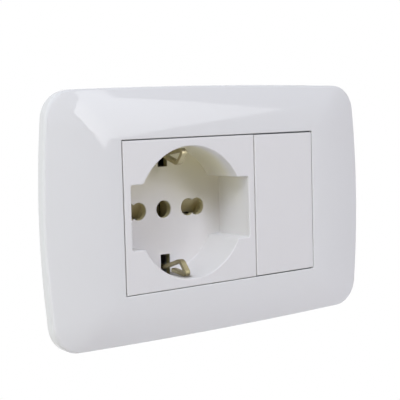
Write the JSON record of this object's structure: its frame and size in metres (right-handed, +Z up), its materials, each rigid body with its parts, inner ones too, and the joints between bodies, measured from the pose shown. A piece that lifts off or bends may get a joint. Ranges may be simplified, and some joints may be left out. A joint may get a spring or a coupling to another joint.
{
  "type": "wall socket",
  "caption": "Flush wall socket with round grounded well, sliding shutter and a blank cover in a domed white plate.",
  "frame": {"origin": "middle of the plate's opening on the wall plane, where the frame seats on the wall box", "axes": "+Z up, the front faces -Y, +Y goes into the wall, +X to the right when seen from the front"},
  "size_m": [0.123, 0.0376, 0.0764],
  "materials": {
    "gloss_white": "glossy moulded white",
    "satin_white": "satin moulded white",
    "frame_grey": "matt moulded grey",
    "housing_grey": "matt moulded light grey",
    "shutter_beige": "matt moulded beige",
    "spring_steel": "drawn spring wire",
    "zinc_steel": "zinc plated",
    "brass": "stamped, slightly dull"
  },
  "bodies": {
    "fitting": {"cover_plate": "gloss_white", "mounting_frame": "frame_grey", "frame_screw_left": "zinc_steel", "frame_screw_right": "zinc_steel", "socket_front": "satin_white", "socket_rear_housing": "housing_grey", "housing_screw_upper": "zinc_steel", "housing_screw_lower": "zinc_steel", "shutter_spring": "spring_steel", "earth_bracket": "brass", "earth_pin_contact": "brass", "earth_rivet": "brass", "phase_contact": "brass", "neutral_contact": "brass", "phase_clamp_plate": "zinc_steel", "neutral_clamp_plate": "zinc_steel", "earth_clamp_plate": "zinc_steel", "phase_terminal_screw": "zinc_steel", "neutral_terminal_screw": "zinc_steel", "earth_terminal_screw": "zinc_steel", "blank_module": "satin_white"},
    "shutter_slider": {"shutter": "shutter_beige"}
  },
  "joints": [
    {"name": "shutter_slide", "type": "slide", "parent": "fitting", "child": "shutter_slider", "axis": [0, 0, 1], "range_m": [0, 0.0052], "stiffness_N_per_m": 250, "springref_m": -0.004, "deforming": ["shutter_spring"]}
  ]
}
